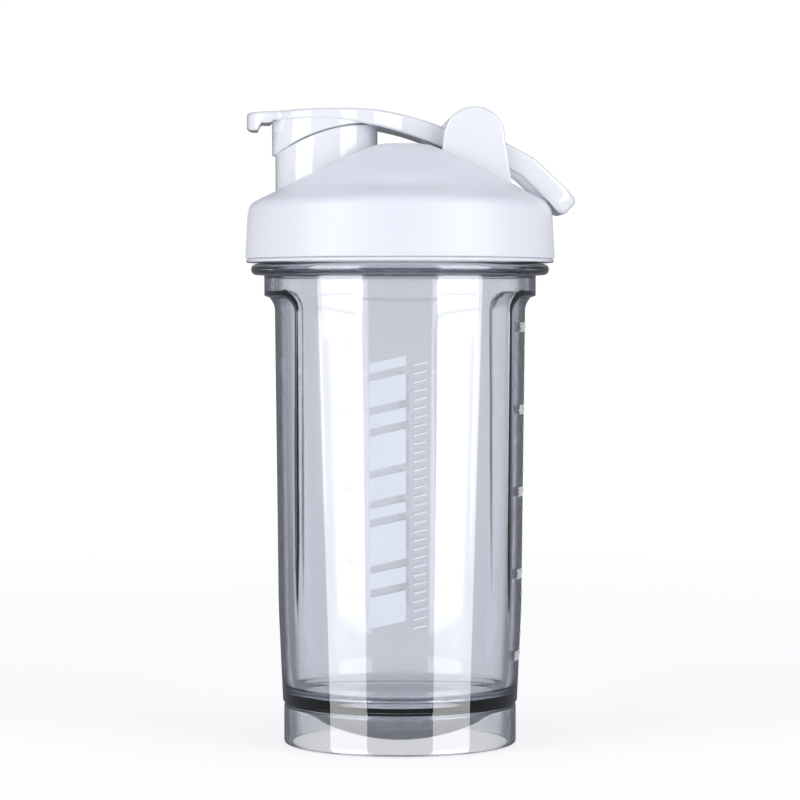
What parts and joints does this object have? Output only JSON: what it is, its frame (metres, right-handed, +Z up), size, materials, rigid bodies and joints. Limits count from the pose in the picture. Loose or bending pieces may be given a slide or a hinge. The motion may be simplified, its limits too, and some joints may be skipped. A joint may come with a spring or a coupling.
{
  "type": "shaker bottle",
  "caption": "Clear shaker jar with side grips, screw lid, drinking spout under a hinged flip cap, carry loop and a mixing grid under the lid.",
  "frame": {"origin": "centre of the foot ring's lower face, on the jar's axis", "axes": "+Z up along the jar's axis, -X towards the drinking spout, +X towards the hinge and carry loop"},
  "size_m": [0.1041, 0.0984, 0.2014],
  "materials": {
    "clear_jar": "clear, slightly grey moulded copolyester",
    "soft_lid": "white soft-touch overmould, satin",
    "gloss_lid": "white polypropylene, polished",
    "seal": "translucent grey silicone",
    "grid_plastic": "white polypropylene, matt",
    "pin_plastic": "white acetal"
  },
  "bodies": {
    "jar": {"jar": "clear_jar"},
    "seal_ring": {"lid_gasket": "seal"},
    "lid": {"lid_core": "gloss_lid", "lid_shell": "soft_lid", "mixing_grid": "grid_plastic", "hinge_pin": "pin_plastic"},
    "cap": {"flip_cap": "gloss_lid", "spout_seal": "seal"},
    "loop": {"carry_loop": "gloss_lid"}
  },
  "joints": [
    {"name": "lid_rise", "type": "slide", "parent": "jar", "child": "seal_ring", "axis": [0, 0, 1], "range_m": [0, 0.0181]},
    {"name": "lid_turn", "type": "hinge", "parent": "seal_ring", "child": "lid", "pos_m": [0, 0, 0.16], "axis": [0, 0, 1], "range_deg": [0, 1080]},
    {"name": "cap_flip", "type": "hinge", "parent": "lid", "child": "cap", "pos_m": [0.0224, 0, 0.1918], "axis": [0, 1, 0], "range_deg": [0, 96]},
    {"name": "loop_swing", "type": "hinge", "parent": "lid", "child": "loop", "pos_m": [0.0224, 0, 0.1918], "axis": [0, -1, 0], "range_deg": [0, 80]}
  ],
  "couplings": [
    {"joint": "lid_rise", "follows": "lid_turn", "m_per_rad": 0.00095493}
  ]
}
